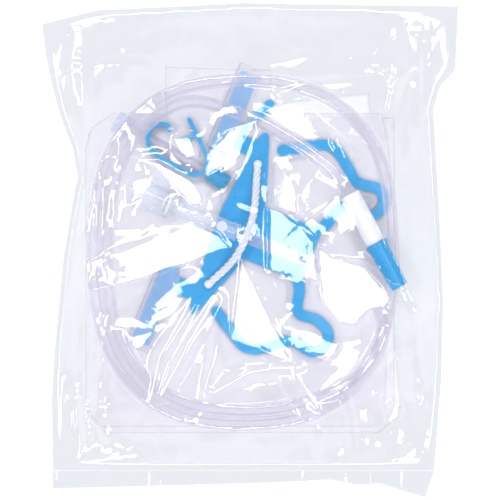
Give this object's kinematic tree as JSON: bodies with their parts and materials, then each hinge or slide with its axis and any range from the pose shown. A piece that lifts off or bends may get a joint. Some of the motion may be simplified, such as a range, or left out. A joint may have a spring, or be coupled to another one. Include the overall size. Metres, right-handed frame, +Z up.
{
  "type": "ear irrigation set",
  "caption": "Sealed clear pouch holding a folded fluid bag, coiled clear tube, flat two-hook hanger with cord, inlet chamber, pinch clamp, twist tap and capped nozzle",
  "frame": {"origin": "middle of the pouch's outline, on the surface that it lies on", "axes": "+Y to the pouch's tear-open header, +Z up out of the flat pouch, +X to the right"},
  "size_m": [0.2704, 0.321, 0.0318],
  "materials": {
    "film": "clear thin heat-sealed film",
    "paper": "folded white paper",
    "bag_sheet": "soft frosted vinyl sheet",
    "blue_plastic": "satin moulded plastic",
    "rope": "braided white cord",
    "rope_end": "melted cord end",
    "clear_plastic": "clear rigid plastic",
    "valve_rubber": "soft white rubber",
    "white_plastic": "smooth white plastic",
    "pin_plastic": "small moulded pin",
    "tube": "clear flexible tube",
    "port_plastic": "clear welded port",
    "teal_plastic": "fluted moulded plastic"
  },
  "bodies": {
    "pouch_and_set": {"pouch_lower_film": "film", "pouch_bottom_seal": "film", "leaflet": "paper", "bag_back_panel": "bag_sheet", "bag_front_panel": "bag_sheet", "bag_flap_upper": "bag_sheet", "bag_flap_lower": "bag_sheet", "hanger": "blue_plastic", "clamp_body": "blue_plastic", "hanger_cord": "rope", "cord_anchor_upper": "rope_end", "cord_anchor_lower": "rope_end", "chamber_body": "clear_plastic", "chamber_cap": "clear_plastic", "inlet_tee": "clear_plastic", "inlet_connector": "clear_plastic", "port_septum": "valve_rubber", "tube_sleeve": "white_plastic", "nozzle": "white_plastic", "valve_seat": "white_plastic", "valve_pin": "pin_plastic", "clamp_pin": "pin_plastic", "tube_lead_in": "tube", "tube_coil": "tube", "tube_lead_out": "tube", "outlet_tube": "tube", "outlet_tube_pinched": "tube", "outlet_tube_end": "tube", "outlet_port": "port_plastic", "tap_collar": "teal_plastic"},
    "upper_film": {"pouch_upper_film": "film"},
    "cap": {"nozzle_cap": "blue_plastic"},
    "lever": {"clamp_lever": "blue_plastic"},
    "knob": {"tap_knob": "teal_plastic"},
    "flap": {"valve_flap": "valve_rubber"}
  },
  "joints": [
    {"name": "film_peel", "type": "hinge", "parent": "pouch_and_set", "child": "upper_film", "pos_m": [0, -0.143, 0.0005], "axis": [1, 0, 0], "range_deg": [0, 110]},
    {"name": "cap_pull", "type": "slide", "parent": "pouch_and_set", "child": "cap", "axis": [0.4756, -0.8796, 0], "range_m": [0, 0.02]},
    {"name": "lever_close", "type": "hinge", "parent": "pouch_and_set", "child": "lever", "pos_m": [-0.02684, 0.05943, 0.0073], "axis": [0, 0, 1], "range_deg": [0, 29], "deforming": ["outlet_tube_pinched"]},
    {"name": "tap_twist", "type": "hinge", "parent": "pouch_and_set", "child": "knob", "pos_m": [-0.01925, 0.0454, 0.0073], "axis": [0.8712, -0.4909, 0], "range_deg": [0, 90]},
    {"name": "valve_swing", "type": "hinge", "parent": "pouch_and_set", "child": "flap", "pos_m": [-0.05547, 0.03066, 0.0177], "axis": [0.3795, 0.9252, 0], "range_deg": [0, 35]}
  ]
}
